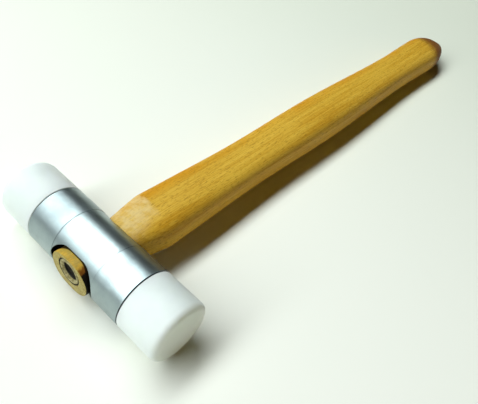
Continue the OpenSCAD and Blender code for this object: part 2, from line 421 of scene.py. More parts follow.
@dataclass(frozen=True)
class OiledBeech(Finish):
    """Oiled beech: straight golden grain with short dark ray flecks, and rings and pores on end cuts.

    The oil deepens the gold and leaves a low sheen. Use has dulled the tenon; painted shade darkens its left
    side, the butt's end, the eye's gap and round the ring wedge.
    """

    name: str = "Oiled beech"
    grain: Grain = Grain.LONG
    light: str = "#DDB542"
    dark: str = "#BF8A18"
    fleck: str = "#94640E"
    warm: str = "#CC8C12"
    pale_facet: str = "#E2C98C"
    # Black of the painted shade in the eye's gap, round the ring wedge and at the tenon's darkest
    shade_black: str = "#140D06"
    # Brown of the painted shade on the tenon's left side and the butt's end
    shade_brown: str = "#7C4C14"
    driven: str = "#A08A40"
    roughness: float = 0.48
    # Cells per millimetre, along the handle and across it. Real fibres and pores are too fine to show, so
    # they are drawn coarser
    fibres: tuple[float, float] = (0.035, 1.9)
    flecks: tuple[float, float] = (0.42, 2.6)
    pores: tuple[float, float] = (0.3, 4.5)
    streaks: tuple[float, float] = (0.012, 0.2)
    sway: tuple[float, float] = (0.007, 0.03)
    # Depth of the fibres, the flecks and the pores, in metres
    fibre_deep: float = 0.00006
    fleck_deep: float = 0.00004
    pore_deep: float = 0.0001
    # Cells per millimetre of the patches in the facet, the stain, the warmth and the wear
    ragged: float = 0.35
    patchy: float = 0.22
    blotchy: float = 0.5
    warm_patch: float = 0.06
    worn_patch: float = 0.45
    nick: float = 1.3
    # Width of a growth ring, how far it sways, how late it darkens, and where the tree's middle lies
    # beside and below the handle
    ring_mm: float = 1.7
    ring_sway: float = 3.0
    late_wood: float = 2.5
    pith_y: float = 90.0
    pith_z: float = -160.0
    # Along the handle: where the tenon comes out of the eye, the shoulder's crease and the painted shade on
    # the butt
    proud_from: float = -4.0
    proud_to: float = -9.0
    crease_x: float = 29.0
    butt_x: float = 283.0
    butt_span: float = 17.0
    # The pale facet: its ragged edge behind the crease, its flank and its height over the head's axis
    crease_slant: float = -0.1
    crease_sway: float = 5.0
    crease_near: float = 1.0
    crease_far: float = 3.6
    flank_slant: float = -0.3
    flank_from: float = -15.5
    flank_to: float = -6.0
    facet_low: float = 2.0
    facet_high: float = 6.0
    # The painted shade: its ragged edge towards the tenon's left, its height, and its slant on the butt
    shade_sway: float = 5.0
    shade_from: float = 6.5
    shade_to: float = 11.0
    shade_low: float = -7.5
    shade_high: float = -5.0
    butt_sway: float = 7.0
    butt_slant: float = -0.35
    butt_dark: float = 0.66
    # The painted shade at the eye's edge: how far inside the barrel's surface it is full and gone, and how
    # dark
    gap_shade_full_in: float = 0.35
    gap_shade_gone_in: float = 0.05
    gap_shade_dark: float = 0.93
    # Radius of the barrel at the eye, and the ring wedge's radius and height over the head's axis
    eye_r: float = 13.9
    wedge_r: float = 5.8
    wedge_up: float = 1.2
    # Outside the ring wedge, how far the painted shade is full and where it is gone
    wedge_full: float = 0.5
    wedge_gone: float = 0.8

    def stretched(self, graph: Graph, place: Node, cells: tuple[float, float], detail: float) -> Node:
        """Return a noise drawn out along the handle, given its cells per millimetre along and across."""
        drawn = graph.add(Kind.STRETCH, place, (cells[0], cells[1], cells[1]))
        return graph.add(Kind.NOISE, drawn, 1.0, detail, 0.55)

    def rings(self, graph: Graph, place: Node, y: Socket, z: Socket) -> Node:
        """Cut growth rings round a pith far beside the handle.

        Args:
            graph: Tree of the material.
            place: The shaded point in the tool's millimetres.
            y: Distance along the head.
            z: Height over the head's axis.

        Returns:
            0 in early wood, rising to 1 in late wood.
        """
        sway = graph.add(Kind.MULTIPLY, self.stretched(graph, place, self.sway, 2), self.ring_sway)
        across = graph.add(Kind.SUBTRACT, y, self.pith_y)
        up = graph.add(Kind.SUBTRACT, z, self.pith_z)
        radius = graph.add(Kind.ADD, graph.radius(across, up), sway)
        turn = graph.add(Kind.FRACT, graph.add(Kind.DIVIDE, radius, self.ring_mm))
        return graph.add(Kind.POWER, turn, self.late_wood)

    def facet(self, graph: Graph, place: Node, x: Socket, y: Socket, z: Socket) -> Node:
        """Pale the upper facet of the shoulder, from its crease back to the barrel.

        Args:
            graph: Tree of the material.
            place: The shaded point in the tool's millimetres.
            x: Distance along the handle.
            y: Distance along the head.
            z: Height over the head's axis.

        Returns:
            How pale the wood is, from 0 to 1.
        """
        ragged = graph.add(Kind.NOISE, place, self.ragged, 4, 0.65)
        slanted = graph.add(Kind.MULTIPLY_ADD, y, self.crease_slant, x)
        crease = graph.add(Kind.ADD, slanted, graph.add(Kind.MULTIPLY, ragged, self.crease_sway))
        near, far = self.crease_x + self.crease_near, self.crease_x + self.crease_far
        behind = graph.add(Kind.EASE, crease, near, far, 1.0, 0.0)
        flank = graph.add(Kind.MULTIPLY_ADD, x, self.flank_slant, y)
        flank = graph.add(Kind.EASE, flank, self.flank_from, self.flank_to)
        height = graph.add(Kind.EASE, z, self.facet_low, self.facet_high)
        above = graph.add(Kind.MULTIPLY, flank, height)
        patches = graph.add(Kind.NOISE, place, self.patchy, 3, 0.6)
        patchy = graph.add(Kind.EASE, patches, 0.35, 0.62, 0.25, 0.72)
        front = graph.add(Kind.MULTIPLY, graph.add(Kind.EASE, x, 0.0, 4.0), patchy)
        return graph.add(Kind.MULTIPLY, graph.add(Kind.MULTIPLY, behind, above), front)

    def proud(self, graph: Graph, x: Socket) -> Node:
        """Return 1 where the tenon stands out of the eye, and 0 from the barrel's middle on."""
        return graph.add(Kind.EASE, x, self.proud_from, self.proud_to)

    def end_shade(self, graph: Graph, place: Node, x: Socket, y: Socket, z: Socket) -> Node:
        """Paint shade on the tenon's upper side at its left end, and on the butt's end.

        Args:
            graph: Tree of the material.
            place: The shaded point in the tool's millimetres.
            x: Distance along the handle.
            y: Distance along the head.
            z: Height over the head's axis.

        Returns:
            How much painted shade the wood takes, from 0 to 1.
        """
        blotch = graph.add(Kind.NOISE, place, self.blotchy, 3, 0.6)
        # Painted shade on the tenon's left side, which is turned from the lamp
        leftwards = graph.add(Kind.MULTIPLY, y, -1.0)
        level = graph.add(Kind.MULTIPLY_ADD, blotch, self.shade_sway, leftwards)
        side = graph.add(Kind.EASE, level, self.shade_from, self.shade_to)
        tenon = graph.add(Kind.MULTIPLY, side, self.proud(graph, x))
        height = graph.add(Kind.EASE, z, self.shade_low, self.shade_high)
        tenon = graph.add(Kind.MULTIPLY, tenon, height)
        # Painted shade on the butt's dome, which is turned from the lamp
        wavy = graph.add(Kind.MULTIPLY_ADD, blotch, self.butt_sway, x)
        slant = graph.add(Kind.MULTIPLY_ADD, y, self.butt_slant, wavy)
        butt = graph.add(Kind.EASE, slant, self.butt_x, self.butt_x + self.butt_span, 0.0, self.butt_dark)
        return graph.add(Kind.MAXIMUM, tenon, butt)

    def weathered(self, graph: Graph, place: Node, x: Socket) -> Node:
        """Dull the tenon's sides in blotches where it stands out of the eye.

        Args:
            graph: Tree of the material.
            place: The shaded point in the tool's millimetres.
            x: Distance along the handle.

        Returns:
            How dull the wood is, from 0 to 1.
        """
        patches = graph.add(Kind.NOISE, place, self.worn_patch, 4, 0.65)
        blotch = graph.add(Kind.EASE, patches, 0.38, 0.62, 0.3, 0.85)
        spots = graph.add(Kind.NOISE, place, self.nick, 4, 0.7)
        nicks = graph.add(Kind.EASE, spots, 0.54, 0.66, 0.0, 0.9)
        return graph.add(Kind.MULTIPLY, graph.add(Kind.MAXIMUM, blotch, nicks), self.proud(graph, x))

    def ring_shade(self, graph: Graph, y: Socket, z: Socket) -> Node:
        """Paint shade on the end grain inside and just round the ring wedge.

        Args:
            graph: Tree of the material.
            y: Distance along the head.
            z: Height over the head's axis.

        Returns:
            How dark the wood is, from 0 to 1.
        """
        off = graph.radius(y, graph.add(Kind.SUBTRACT, z, self.wedge_up))
        full, gone = self.wedge_r + self.wedge_full, self.wedge_r + self.wedge_gone
        return graph.add(Kind.EASE, off, full, gone, 1.0, 0.0)

    def eye_gap_shade(self, graph: Graph, x: Socket, z: Socket) -> Node:
        """Return how much painted shade falls in the corner where the wood meets the eye's edge, from 0 to 1.
        """
        inner, outer = self.eye_r - self.gap_shade_full_in, self.eye_r - self.gap_shade_gone_in
        return graph.add(Kind.EASE, graph.radius(x, z), inner, outer, 1.0, 0.0)

    def wood(self, graph: Graph, place: Node, fibre: Node, flecks: Node) -> Node:
        """Colour the clean wood by its rings, fibres and flecks, warmer on its right flank.

        Args:
            graph: Tree of the material.
            place: The shaded point in the tool's millimetres.
            fibre: Noise of the fibres.
            flecks: Where the ray flecks are.

        Returns:
            A colour node.
        """
        x, y, z = graph.add(Kind.SPLIT, place).outputs
        fine = graph.add(Kind.EASE, fibre, 0.3, 0.7, 0.0, 0.55)
        tone = graph.add(Kind.MULTIPLY_ADD, self.rings(graph, place, y, z), 0.3, fine)
        broad = graph.add(Kind.EASE, self.stretched(graph, place, self.streaks, 3), 0.35, 0.7, -0.1, 0.25)
        tone = graph.add(Kind.ADD, tone, broad, use_clamp=True)
        colour = graph.add(Kind.MIX, tone, self.light, self.dark)
        patches = graph.add(Kind.NOISE, place, self.warm_patch, 3, 0.5)
        patch = graph.add(Kind.EASE, patches, 0.35, 0.6, 0.3, 0.9)
        warmth = graph.add(Kind.MULTIPLY, graph.add(Kind.EASE, y, 2.0, 10.0), patch)
        warmth = graph.add(Kind.MULTIPLY, warmth, graph.add(Kind.EASE, x, 0.0, 8.0))
        colour = graph.add(Kind.MIX, warmth, colour, self.warm)
        return graph.add(Kind.MIX, graph.add(Kind.MULTIPLY, flecks, 0.5), colour, self.fleck)

    def dress(self, graph: Graph, shader: Node, place: Node) -> None:
        """Lay the pale shoulder facet, the wear and the painted shade over the clean wood.

        Args:
            graph: Tree of the material.
            shader: Its principled shader.
            place: The shaded point in the tool's millimetres.
        """
        x, y, z = graph.add(Kind.SPLIT, place).outputs
        fibre = self.stretched(graph, place, self.fibres, 4)
        flecks = graph.add(Kind.EASE, self.stretched(graph, place, self.flecks, 1), 0.54, 0.68)
        colour = self.wood(graph, place, fibre, flecks)
        colour = graph.add(Kind.MIX, self.facet(graph, place, x, y, z), colour, self.pale_facet)
        colour = graph.add(Kind.MIX, self.weathered(graph, place, x), colour, self.driven)
        if self.grain is Grain.LONG:
            # Painted shade on the tenon's left side and the butt's end, brown and then black
            end_shade = self.end_shade(graph, place, x, y, z)
            colour = graph.add(Kind.MIX, graph.add(Kind.EASE, end_shade, 0.0, 0.6), colour, self.shade_brown)
            colour = graph.add(Kind.MIX, graph.add(Kind.EASE, end_shade, 0.6, 1.0), colour, self.shade_black)
        # Painted shade in the gap where the wood meets the eye's edge
        painted_shade = graph.add(Kind.MULTIPLY, self.eye_gap_shade(graph, x, z), self.gap_shade_dark)
        colour = graph.add(Kind.MIX, painted_shade, colour, self.shade_black)
        raised = graph.add(Kind.BUMP, Height=flecks, Distance=self.fleck_deep, Strength=0.35)
        normal = graph.add(Kind.BUMP, Height=fibre, Distance=self.fibre_deep, Strength=0.4, Normal=raised)
        if self.grain is Grain.END:
            pores = self.stretched(graph, place, self.pores, 2)
            open_pores = graph.add(Kind.EASE, pores, 0.5, 0.66, 0.0, 0.75)
            colour = graph.add(Kind.MIX, open_pores, colour, self.fleck)
            # Painted shade in the ring's sunk middle and the gap round it
            colour = graph.add(Kind.MIX, self.ring_shade(graph, y, z), colour, self.shade_black)
            normal = graph.add(Kind.BUMP, Height=pores, Distance=self.pore_deep, Strength=0.5, Normal=normal)
        rough = graph.add(Kind.EASE, fibre, 0.3, 0.7, self.roughness - 0.05, self.roughness + 0.08)
        graph.plug(shader, Base_Color=colour, Roughness=rough, Normal=normal, Specular_IOR_Level=0.12)


@dataclass(frozen=True)
class DullSteel(Finish):
    """Driven steel: brown grey and blotched where the scale has worn, with painted shade deep in the ring's
    hole.
    """

    name: str = "Dull steel"
    base: str = "#B0A678"
    scale: str = "#877C50"
    # Colour of the painted shade deep in the ring's hole
    painted_shade: str = "#17130B"
    roughness: float = 0.6
    # Cells per millimetre: blotches over a millimetre wide and pits of a third of one
    blotches: float = 0.8
    pits: float = 3.0
    # Depth of the pits, in metres
    pit_deep: float = 0.00012
    # Radius inside which the ring takes painted shade, and its height over the head's axis
    bore_r: float = 4.8
    bore_up: float = 1.2
    # Where along the handle the painted shade in the hole starts, and over what depth it darkens
    bore_x: float = -13.75
    bore_fade: float = 0.35

    def dress(self, graph: Graph, shader: Node, place: Node) -> None:
        """Blotch the steel with scale, pit it lightly and paint shade deep in the ring's hole.

        Args:
            graph: Tree of the material.
            shader: Its principled shader.
            place: The shaded point in the tool's millimetres.
        """
        x, y, z = graph.add(Kind.SPLIT, place).outputs
        blotch = graph.add(Kind.NOISE, place, self.blotches, 5, 0.65)
        colour = graph.add(Kind.MIX, graph.add(Kind.EASE, blotch, 0.4, 0.62), self.base, self.scale)
        # Painted shade deep in the ring's hole
        off = graph.radius(y, graph.add(Kind.SUBTRACT, z, self.bore_up))
        inside = graph.add(Kind.LESS_THAN, off, self.bore_r)
        deep = graph.add(Kind.EASE, x, self.bore_x, self.bore_x + self.bore_fade)
        colour = graph.add(Kind.MIX, graph.add(Kind.MULTIPLY, inside, deep), colour, self.painted_shade)
        rough = graph.add(Kind.EASE, blotch, 0.35, 0.65, self.roughness - 0.1, self.roughness + 0.15)
        pits = graph.add(Kind.NOISE, place, self.pits, 3, 0.6)
        normal = graph.add(Kind.BUMP, Height=pits, Distance=self.pit_deep, Strength=0.5)
        graph.plug(shader, Base_Color=colour, Metallic=0.5, Roughness=rough, Normal=normal)


@dataclass(frozen=True)
class PaleTable(Finish):
    """Pale laminate: a flat off-white that keeps the tool's soft shadow, with the lamp's fall-off painted in
    as grey past the butt.
    """

    name: str = "Pale laminate"
    near: str = "#FCFDF4"
    # Grey of the painted fall-off of the lamp's light, far past the butt
    far: str = "#E3E8D9"
    haze: str = "#E6EAE0"
    roughness: float = 0.8
    # Cells per millimetre: clouds a quarter of a metre wide
    clouds: float = 0.004
    # Along the handle, where the painted fall-off of the lamp's light starts to grey the white and where it
    # has greyed
    grey_from: float = -40.0
    grey_to: float = 470.0
    # Slant of that line across the head, and how far the clouds push it
    grey_slant: float = 0.35
    grey_sway: float = 60.0
    # From the head, where the table starts to run out and where it has gone
    fade_from: float = 560.0
    fade_to: float = 950.0

    def dress(self, graph: Graph, shader: Node, place: Node) -> None:
        """Let the off-white grey slowly past the butt as painted fall-off of the lamp's light, with a cloud
        too faint to read as a pattern.

        Args:
            graph: Tree of the material.
            shader: Its principled shader.
            place: The shaded point in the tool's millimetres.
        """
        x, y, _ = graph.add(Kind.SPLIT, place).outputs
        cloud = graph.add(Kind.NOISE, place, self.clouds, 2, 0.5)
        slanted = graph.add(Kind.MULTIPLY_ADD, y, self.grey_slant, x)
        reach = graph.add(Kind.MULTIPLY_ADD, cloud, self.grey_sway, slanted)
        share = graph.add(Kind.EASE, reach, self.grey_from, self.grey_to)
        colour = graph.add(Kind.MIX, share, self.near, self.far)
        graph.plug(shader, Base_Color=colour, Roughness=self.roughness, Specular_IOR_Level=0.0)
        self.fade(graph, shader, x, y)

    def fade(self, graph: Graph, shader: Node, x: Socket, y: Socket) -> None:
        """Let the table run out into the pale background, well outside the tool's shadow.

        Args:
            graph: Tree of the material.
            shader: Its principled shader.
            x: Distance along the handle.
            y: Distance along the head.
        """
        far = graph.add(Kind.EASE, graph.radius(x, y), self.fade_from, self.fade_to)
        seen = graph.add(Kind.MULTIPLY, far, graph.add(Kind.RAYS).outputs["Is Camera Ray"])
        glow = graph.add(Kind.GLOW, Color=self.haze, Strength=1.0)
        both = graph.add(Kind.EITHER, seen, shader, glow)
        graph.plug(graph.tree.nodes["Material Output"], Surface=both)


# Meshes


def make_object(name: str, points: Points, faces: Faces, material: Material) -> Object:
    """Make an object at the origin from points in the tool's millimetres.

    Args:
        name: Name of the object and of its mesh.
        points: One row of x, y and z for each vertex.
        faces: Vertex numbers of each face, counterclockwise from outside.
        material: Material of every face.

    Returns:
        The linked object, its vertices laid into the row frame in metres.
    """
    mesh = bpy.data.meshes.new(name)
    mesh.from_pydata(np.asarray(points, float).tolist(), [], faces)
    mesh.transform(LAY @ Matrix.Scale(MM, 4))
    mesh.materials.append(material)
    mesh.update()
    made = bpy.data.objects.new(name, mesh)
    bpy.context.scene.collection.objects.link(made)
    return made


def bake(made: Object, sharp_deg: float = 32.0) -> None:
    """Turn an object's modifiers into a plain mesh with smooth faces and sharp edges.

    Args:
        made: Object whose modifiers are applied and removed.
        sharp_deg: Edges that turn more than this stay sharp.
    """
    depsgraph = bpy.context.evaluated_depsgraph_get()
    mesh = bpy.data.meshes.new_from_object(made.evaluated_get(depsgraph), depsgraph=depsgraph)
    made.modifiers.clear()
    made.data = mesh
    mesh.name = made.name
    mesh.shade_smooth()
    mesh.set_sharp_from_angle(angle=math.radians(sharp_deg))


def cut(made: Object, cutters: Sequence[Object]) -> None:
    """Cut closed shapes out of an object and remove them.

    Args:
        made: Object to cut.
        cutters: Closed objects to take away.
    """
    for cutter in cutters:
        step = made.modifiers.new("cut", "BOOLEAN")
        step.operation = "DIFFERENCE"
        step.solver = "EXACT"
        step.object = cutter
    bake(made)
    for cutter in cutters:
        bpy.data.objects.remove(cutter)


def loft(rings: Sequence[Points]) -> tuple[Points, Faces]:
    """Join closed rings of equal count into a tube with a fan at each end.

    Args:
        rings: Rings in order along the tube, each counterclockwise when seen from its far end.

    Returns:
        Points and outward faces of the closed tube.
    """
    count = len(rings[0])
    points = np.vstack([*rings, rings[0].mean(0), rings[-1].mean(0)])
    first = len(rings) * count
    last = first - count
    faces: Faces = []
    for low in range(0, last, count):
        for i in range(count):
            j = (i + 1) % count
            faces.append((low + i, low + j, low + count + j, low + count + i))
    for i in range(count):
        j = (i + 1) % count
        faces.append((first, j, i))
        faces.append((first + 1, last + i, last + j))
    return points, faces


def lathe(profile: Outline, steps: int) -> tuple[Points, Faces]:
    """Turn an outline about the Y axis into a closed body.

    Args:
        profile: Radius and distance along Y, from low Y to high Y on the outside, first and last on the axis.
        steps: Number of sides.

    Returns:
        Points and outward faces.
    """
    angle = np.linspace(0, 2 * math.pi, steps, endpoint=False)
    rings = [np.c_[r * np.sin(angle), np.full(steps, y), r * np.cos(angle)] for r, y in profile[1:-1]]
    points, faces = loft(rings)
    points[-2] = (0, profile[0][1], 0)
    points[-1] = (0, profile[-1][1], 0)
    return points, faces


def turn_section(section: Outline, steps: int) -> tuple[Points, Faces]:
    """Turn a closed outline that stays off the Y axis into a ring-shaped body.

    Args:
        section: Radius and distance along Y, clockwise with the radius to the right and Y up.
        steps: Number of sides.

    Returns:
        Points and outward faces.
    """
    count = len(section)
    angle = np.linspace(0, 2 * math.pi, steps, endpoint=False)
    points = np.vstack([[(r * math.sin(t), y, r * math.cos(t)) for r, y in section] for t in angle])
    faces: Faces = []
    for i in range(steps):
        near, far = i * count, (i + 1) % steps * count
        for k in range(count):
            after = (k + 1) % count
            faces.append((near + k, near + after, far + after, far + k))
    return points, faces


def to_handle_axis(points: Points, up: float) -> Points:
    """Turn points that were built about Y so that Y runs into the tenon along +X, raised by up."""
    return np.c_[points[:, 1], -points[:, 0], points[:, 2] + up]


def arc(centre: tuple[float, float], radius: float, start: float, end: float, steps: int) -> Outline:
    """Return points of an arc in the (radius, distance) plane, angles in degrees from the radius axis."""
    turns = np.radians(np.linspace(start, end, steps + 1))
    return [(centre[0] + radius * math.cos(t), centre[1] + radius * math.sin(t)) for t in turns]


def obround(length: float, height: float, steps: int = 48) -> tuple[Points, Points]:
    """Outline a slot with round ends.

    Args:
        length: Size along Y over the round ends.
        height: Size along Z.
        steps: Segments of each half circle.

    Returns:
        Points (y, z) counterclockwise from +Y, and their outward normals.
    """
    radius, shift = height / 2, (length - height) / 2
    right = np.radians(np.linspace(-90, 90, steps + 1))
    left = np.radians(np.linspace(90, 270, steps + 1))
    centre = np.r_[np.full(steps + 1, shift), np.full(steps + 1, -shift)]
    angle = np.r_[right, left]
    normals = np.c_[np.cos(angle), np.sin(angle)]
    return np.c_[centre, np.zeros(len(angle))] + radius * normals, normals


# Screw threads


@dataclass(frozen=True)
class ThreadSize:
    """Sizes of a coarse thread, in millimetres."""

    pitch: float = 2.0
    turns: float = 4.5
    root_w: float = 1.45
    crest_w: float = 0.35
    depth: float = 1.0
    # How far the ridge's foot is sunk into its piece
    sunk: float = 0.02


class ScrewThread:
    """A thread as geometry nodes: a section that follows a helix and is joined to the piece.

    The helix winds to the left, though the real thread is taken to be right-hand. On a spigot the section is
    a trapezoid. In a socket it has no height, so it stays a flat band that doesn't touch the wall. Neither
    shows from outside.
    """

    INPUTS = (
        ("Radius", "NodeSocketFloat"),
        ("Turns", "NodeSocketFloat"),
        ("Pitch", "NodeSocketFloat"),
        ("Root width", "NodeSocketFloat"),
        ("Crest width", "NodeSocketFloat"),
        ("Depth", "NodeSocketFloat"),
        ("Start", "NodeSocketVector"),
        ("Turned", "NodeSocketVector"),
        ("Material", "NodeSocketMaterial"),
    )
    STEPS_PER_TURN = 72
    # The ridge thins out over this part of its length at each end, down to a share of its section
    RUN_OUT = 1 / 14
    THINNEST = 0.05

    def __init__(self) -> None:
        """Build the tree once; each piece sets its own inputs."""
        self.tree = bpy.data.node_groups.new("Screw thread", "GeometryNodeTree")
        self.sockets = {"Geometry": self._socket("Geometry", "NodeSocketGeometry")}
        for name, kind in self.INPUTS:
            self.sockets[name] = self._socket(name, kind)
        self.tree.interface.new_socket(name="Geometry", in_out="OUTPUT", socket_type="NodeSocketGeometry")
        self._link()

    def _socket(self, name: str, kind: str) -> str:
        """Add one input to the tree and return its identifier."""
        return self.tree.interface.new_socket(name=name, in_out="INPUT", socket_type=kind).identifier

    def _ridge(self, graph: Graph, given: Any) -> Node:
        """Sweep the section along the helix, thin at both ends.

        Args:
            graph: Tree of the thread.
            given: The tree's named inputs.

        Returns:
            The node of the ridge, which rises from the origin along +Z.
        """
        helix = graph.add(
            Kind.HELIX,
            Resolution=self.STEPS_PER_TURN,
            Rotations=given["Turns"],
            Start_Radius=given["Radius"],
            End_Radius=given["Radius"],
            Height=graph.add(Kind.MULTIPLY, given["Turns"], given["Pitch"]),
        )
        share = graph.add(Kind.ALONG).outputs["Factor"]
        from_end = graph.add(Kind.MINIMUM, share, graph.add(Kind.SUBTRACT, 1.0, share))
        full = graph.add(Kind.MINIMUM, graph.add(Kind.MULTIPLY, from_end, 1 / self.RUN_OUT), 1.0)
        section = graph.add(
            Kind.SECTION,
            Height=given["Depth"],
            Bottom_Width=given["Root width"],
            Top_Width=given["Crest width"],
            Offset=0.0,
        )
        lift = graph.add(Kind.JOIN, Y=graph.add(Kind.MULTIPLY, given["Depth"], 0.5))
        raised = graph.add(Kind.PLACE, Geometry=section, Translation=lift)
        return graph.add(
            Kind.SWEEP,
            Curve=graph.add(Kind.LEVEL, Curve=helix),
            Profile_Curve=graph.add(Kind.PLACE, Geometry=raised, Rotation=(0, 0, math.pi / 2)),
            Fill_Caps=True,
            Scale=graph.add(Kind.MAXIMUM, full, self.THINNEST),
        )

    def _link(self) -> None:
        """Put the ridge in its place, dress it and join it to the piece."""
        graph = Graph(self.tree)
        given = graph.add(Kind.GIVEN).outputs
        ridge = self._ridge(graph, given)
        placed = graph.add(Kind.PLACE, Geometry=ridge, Translation=given["Start"], Rotation=given["Turned"])
        dressed = graph.add(Kind.DRESS, Geometry=placed, Material=given["Material"])
        joined = graph.add(Kind.GATHER, given["Geometry"])
        graph.fill(joined.inputs[0], dressed)
        graph.add(Kind.RESULT, graph.add(Kind.REALIZE, joined))

    def put_on(
        self, made: Object, size: ThreadSize, radius: float, side: int, start: float, inwards: bool = False
    ) -> None:
        """Add one thread to a piece as a modifier, its inputs set before it is first evaluated.

        Args:
            made: Piece that gets the thread.
            size: Sizes of the thread.
            radius: Radius that the ridge stands on, in millimetres.
            side: -1 for the head's left end and 1 for its right.
            start: Distance from the head's middle at which the helix starts, in millimetres.
            inwards: True for a socket, where the flat band lies half the depth inside the radius.
        """
        step = made.modifiers.new("thread", "NODES")
        step.node_group = self.tree
        depth = -size.depth if inwards else size.depth
        values = {
            "Radius": radius * MM,
            "Turns": size.turns,
            "Pitch": size.pitch * MM,
            "Root width": size.root_w * MM,
            "Crest width": size.crest_w * MM,
            "Depth": depth * MM,
            "Start": LAY @ Vector((0, side * start * MM, 0)),
            "Turned": Vector((-side * math.pi / 2, 0, 0)),
            "Material": made.data.materials[0],
        }
        for name, value in values.items():
            step[self.sockets[name]] = value


# The mallet's pieces


class Piece(ABC):
    """One physical piece of the mallet: what it is called, what it stands for and what it rides on."""

    node: str
    body: str
    slot: str

    def __init__(self, finish: Finish) -> None:
        """Keep the finish that the piece is dressed in."""
        self.material = finish.build()

    @abstractmethod
    def shape(self) -> Object:
        """Build the piece's mesh and return its object."""

    def build(self) -> Object:
        """Build the piece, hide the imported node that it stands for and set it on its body.

        Returns:
            The finished piece.
        """
        made = self.shape()
        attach(made, self.body)
        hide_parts(self.node)
        LOG.info("%s: %d faces", made.name, len(made.data.polygons))
        return made


@dataclass(frozen=True)
class HeadSize:
    """Sizes of the head, in millimetres."""

    radius: float = 14.0
    half_l: float = 49.1
    half_barrel: float = 28.0
    seam_gap: float = 0.3
    seam_chamfer: float = 0.25
    band_half: float = 12.3
    band_depth: float = 0.1
    groove_w: float = 0.28
    groove_floor_w: float = 0.12
    groove_depth: float = 0.15
    eye_l: float = 25.9
    eye_h: float = 17.7
    eye_chamfer: float = 0.22
    eye_flare: float = 0.66
    spigot_r: float = 9.0
    spigot_l: float = 12.0
    spigot_chamfer: float = 0.8
    # The plain neck under a face's shoulder: how much smaller than the spigot it is, and how far inside
    # the barrel it starts to widen and has widened
    neck_drop: float = 0.2
    neck_from: float = 1.2
    neck_to: float = 0.9
    socket_r: float = 9.05
    socket_l: float = 13.0
    socket_floor: float = 0.3
    socket_mouth: float = 0.5
    # Plain lengths before each thread: from the barrel's end and from the spigot's end
    socket_lead: float = 1.5
    spigot_lead: float = 1.0
    face_edge: float = 3.0
    edge_power: float = 2.25
    edge_steps: int = 24
    barrel_sides: int = 256
    face_sides: int = 192
    # How far a cutter runs out of the barrel
    past: float = 3.0
    thread: ThreadSize = field(default_factory=ThreadSize)


class Barrel(Piece):
    """The turned aluminium barrel: a banded cylinder with an eye through it and a socket at each end."""

    node = "barrel"
    body = "head_and_handle"
    slot = "barrel_aluminium"

    def __init__(self, finish: Finish, size: HeadSize, thread: ScrewThread) -> None:
        """Keep what the barrel is built from.

        Args:
            finish: Its finish.
            size: Sizes of the head.
            thread: The thread's tree.
        """
        super().__init__(finish)
        self.size = size
        self.thread = thread

    def outline(self) -> Outline:
        """Outline the barrel. Points set close beside a small edge keep its shading crisp.

        Returns:
            Radius and distance along the head, from the left socket's floor round to the right one's.
        """
        s = self.size
        floor = s.half_barrel - s.socket_l
        c = s.seam_chamfer
        band = s.radius - s.band_depth
        groove = s.radius - s.groove_depth
        outer = s.band_half + s.groove_w / 2
        inner = s.band_half - s.groove_w / 2
        half = [
            (0.0, floor),
            (s.socket_r - s.socket_floor, floor),
            (s.socket_r, floor + s.socket_floor),
            (s.socket_r, s.half_barrel - s.socket_mouth),
            (s.socket_r + s.socket_mouth, s.half_barrel),
            (s.radius - c - 0.3, s.half_barrel),
            (s.radius - c, s.half_barrel),
            *arc((s.radius - c, s.half_barrel - c), c, 90, 0, 4)[1:],
            *[(s.radius, y) for y in np.linspace(s.half_barrel - c - 0.15, outer + 0.2, 12)],
            (s.radius, outer + 0.05),
            (s.radius - 0.04, outer),
            (groove, s.band_half + s.groove_floor_w / 2),
            (groove, s.band_half - s.groove_floor_w / 2),
            (band - 0.03, inner),
            (band, inner - 0.04),
            (band, inner - 0.15),
            *[(band, y) for y in np.linspace(inner - 0.8, 1.0, 11)],
        ]
        left = [(r, -y) for r, y in half]
        return left + half[::-1]

    def eye_cutter(self) -> Object:
        """Make the slot that cuts the eye, its mouths flared to follow the round barrel as a broken edge.

        Returns:
            The slot as a closed object.
        """
        s = self.size
        flat, normals = obround(s.eye_l, s.eye_h)
        turned = s.radius - s.band_depth
        wide = flat + normals * s.eye_flare
        depth = np.sqrt(turned**2 - flat[:, 1] ** 2) - s.eye_chamfer
        rings = [
            np.c_[np.full(len(flat), -turned - s.past), wide],
            np.c_[-(depth + s.eye_flare), wide],
            np.c_[-depth, flat],
            np.c_[depth, flat],
            np.c_[depth + s.eye_flare, wide],
            np.c_[np.full(len(flat), turned + s.past), wide],
        ]
        points, faces = loft(rings)
        return make_object("eye_cutter", points, faces, self.material)

    def shape(self) -> Object:
        """Turn the barrel, cut the eye and set a thread's band in each socket.

        Returns:
            The barrel.
        """
        s = self.size
        points, faces = lathe(self.outline(), s.barrel_sides)
        made = make_object("barrel_piece", points, faces, self.material)
        cut(made, [self.eye_cutter()])
        start = s.half_barrel - s.thread.pitch * s.thread.turns - s.socket_lead
        for side in (-1, 1):
            self.thread.put_on(made, s.thread, s.socket_r + s.thread.sunk, side, start, inwards=True)
        bake(made)
        return made


